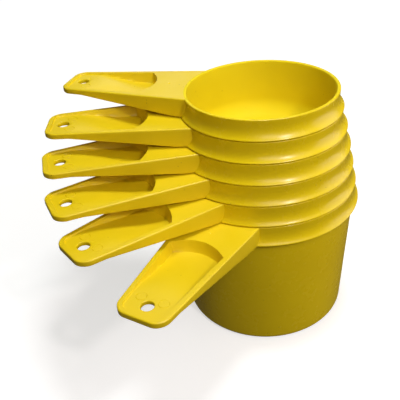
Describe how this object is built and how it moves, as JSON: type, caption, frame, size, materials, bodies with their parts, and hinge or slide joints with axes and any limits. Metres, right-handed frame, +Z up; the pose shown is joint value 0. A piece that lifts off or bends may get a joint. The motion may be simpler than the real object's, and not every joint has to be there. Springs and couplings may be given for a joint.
{
  "type": "nesting measuring cup set",
  "caption": "Nesting dry measuring cups with lipped bowls and flat scooped handles, stacked with the handles fanned out.",
  "frame": {"origin": "centre of the one cup's flat base, on the stack's axis", "axes": "+Z up along the stack's axis, -Y towards the front, the handles fan out from -X towards -Y"},
  "size_m": [0.1255, 0.1282, 0.102],
  "materials": {
    "yellow_plastic": "semi-gloss moulded polypropylene"
  },
  "bodies": {
    "one_cup": {"one_cup": "yellow_plastic"},
    "three_quarter_cup": {"three_quarter_cup": "yellow_plastic"},
    "two_thirds_cup": {"two_thirds_cup": "yellow_plastic"},
    "half_cup": {"half_cup": "yellow_plastic"},
    "third_cup": {"third_cup": "yellow_plastic"},
    "quarter_cup": {"quarter_cup": "yellow_plastic"}
  },
  "joints": [
    {"name": "three_quarter_cup_lift", "type": "slide", "parent": "one_cup", "child": "three_quarter_cup", "axis": [0, 0, 1], "range_m": [0, 0.045]},
    {"name": "two_thirds_cup_lift", "type": "slide", "parent": "three_quarter_cup", "child": "two_thirds_cup", "axis": [0, 0, 1], "range_m": [0, 0.044]},
    {"name": "half_cup_lift", "type": "slide", "parent": "two_thirds_cup", "child": "half_cup", "axis": [0, 0, 1], "range_m": [0, 0.035]},
    {"name": "third_cup_lift", "type": "slide", "parent": "half_cup", "child": "third_cup", "axis": [0, 0, 1], "range_m": [0, 0.025]},
    {"name": "quarter_cup_lift", "type": "slide", "parent": "third_cup", "child": "quarter_cup", "axis": [0, 0, 1], "range_m": [0, 0.02]}
  ]
}
